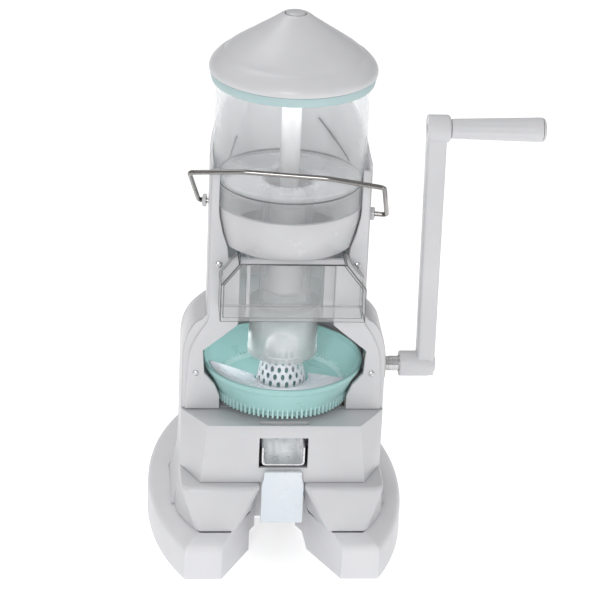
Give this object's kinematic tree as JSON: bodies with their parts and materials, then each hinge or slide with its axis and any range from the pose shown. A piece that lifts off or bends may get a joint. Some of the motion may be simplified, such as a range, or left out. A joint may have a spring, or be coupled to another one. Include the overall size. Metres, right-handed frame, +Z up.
{
  "type": "rotary cheese grater",
  "caption": "Hand-cranked rotary cheese grater: clear hopper with conical lid and pusher over a geared bowl and perforated cone, with side crank and wire bail.",
  "frame": {"origin": "centre of the base's footprint on the surface it stands on, under the centre rubber pad", "axes": "+Z up, -Y towards the front where the food comes out, +X towards the crank"},
  "size_m": [0.2499, 0.19, 0.371],
  "materials": {
    "white_shell": "light grey-white moulded ABS, satin gloss",
    "white_gloss": "white moulded ABS, gloss",
    "mint": "mint green moulded ABS",
    "clear": "clear styrene with grey edges",
    "steel": "bright turned and pressed steel",
    "bright_wire": "polished stainless wire",
    "nylon": "natural nylon",
    "rubber": "matt rubber"
  },
  "bodies": {
    "base": {"base_shell": "white_shell", "base_plate": "white_shell", "foot_pad_1": "rubber", "foot_pad_2": "rubber", "foot_pad_3": "rubber", "foot_pad_4": "rubber", "foot_pad_centre": "rubber", "base_screw_1": "steel", "base_screw_2": "steel", "base_screw_3": "steel", "base_screw_4": "steel", "body_shell": "white_shell", "front_housing": "white_shell", "drive_deck": "white_shell", "left_leg_cover": "white_shell", "right_leg_cover": "white_shell", "front_frame": "white_shell", "frame_screw_1": "steel", "frame_screw_2": "steel", "frame_screw_3": "steel", "frame_screw_4": "steel", "guard": "clear", "tower_shell": "white_shell", "left_bail_boss": "nylon", "right_bail_boss": "nylon", "collar": "white_gloss", "hopper": "clear", "spout": "clear", "feed_cup": "clear", "left_guide_rib": "white_gloss", "right_guide_rib": "white_gloss", "chute": "steel", "chute_tongue": "white_gloss", "drive_bracket": "steel", "lay_shaft_bearing": "nylon", "inner_bush": "nylon", "outer_bush": "nylon", "bowl_bearing": "nylon"},
    "lid": {"lid_shell": "white_gloss", "lid_ring": "mint"},
    "pusher": {"pusher_stem": "white_gloss", "pusher_head": "white_gloss", "pusher_cap": "white_gloss"},
    "bail": {"wire_bail": "bright_wire"},
    "bowl": {"bowl": "mint", "ring_gear": "mint", "grating_cone": "steel", "sector_tray": "white_gloss"},
    "crank": {"crank_shaft": "steel", "crank_gear": "nylon", "crank_arm": "white_shell", "crank_screw": "steel", "grip_axle": "steel"},
    "grip": {"crank_grip": "white_shell", "grip_end_cap": "white_shell"},
    "lay": {"lay_shaft": "steel", "lay_gear": "nylon", "pinion": "nylon", "shaft_clip": "steel"}
  },
  "joints": [
    {"name": "lid_lift", "type": "slide", "parent": "base", "child": "lid", "axis": [0, 0, 1], "range_m": [0, 0.07]},
    {"name": "pusher_slide", "type": "slide", "parent": "base", "child": "pusher", "axis": [0, 0, 1], "range_m": [0, 0.06]},
    {"name": "bail_swing", "type": "hinge", "parent": "base", "child": "bail", "pos_m": [0, -0.026, 0.238], "axis": [0.9836, -0.1805, 0], "range_deg": [0, 66]},
    {"name": "crank_spin", "type": "hinge", "parent": "base", "child": "crank", "pos_m": [0.09, -0.026, 0.126], "axis": [1, 0, 0], "continuous": true},
    {"name": "grip_spin", "type": "hinge", "parent": "crank", "child": "grip", "pos_m": [0.13, -0.026, 0.293], "axis": [1, 0, 0], "continuous": true},
    {"name": "lay_spin", "type": "hinge", "parent": "base", "child": "lay", "pos_m": [0.05, -0.026, 0.097], "axis": [1, 0, 0], "continuous": true},
    {"name": "bowl_spin", "type": "hinge", "parent": "base", "child": "bowl", "pos_m": [0, -0.026, 0.12], "axis": [0, 0, 1], "continuous": true}
  ],
  "couplings": [
    {"joint": "lay_spin", "follows": "crank_spin", "ratio": -1.4167},
    {"joint": "bowl_spin", "follows": "crank_spin", "ratio": 0.25758}
  ]
}
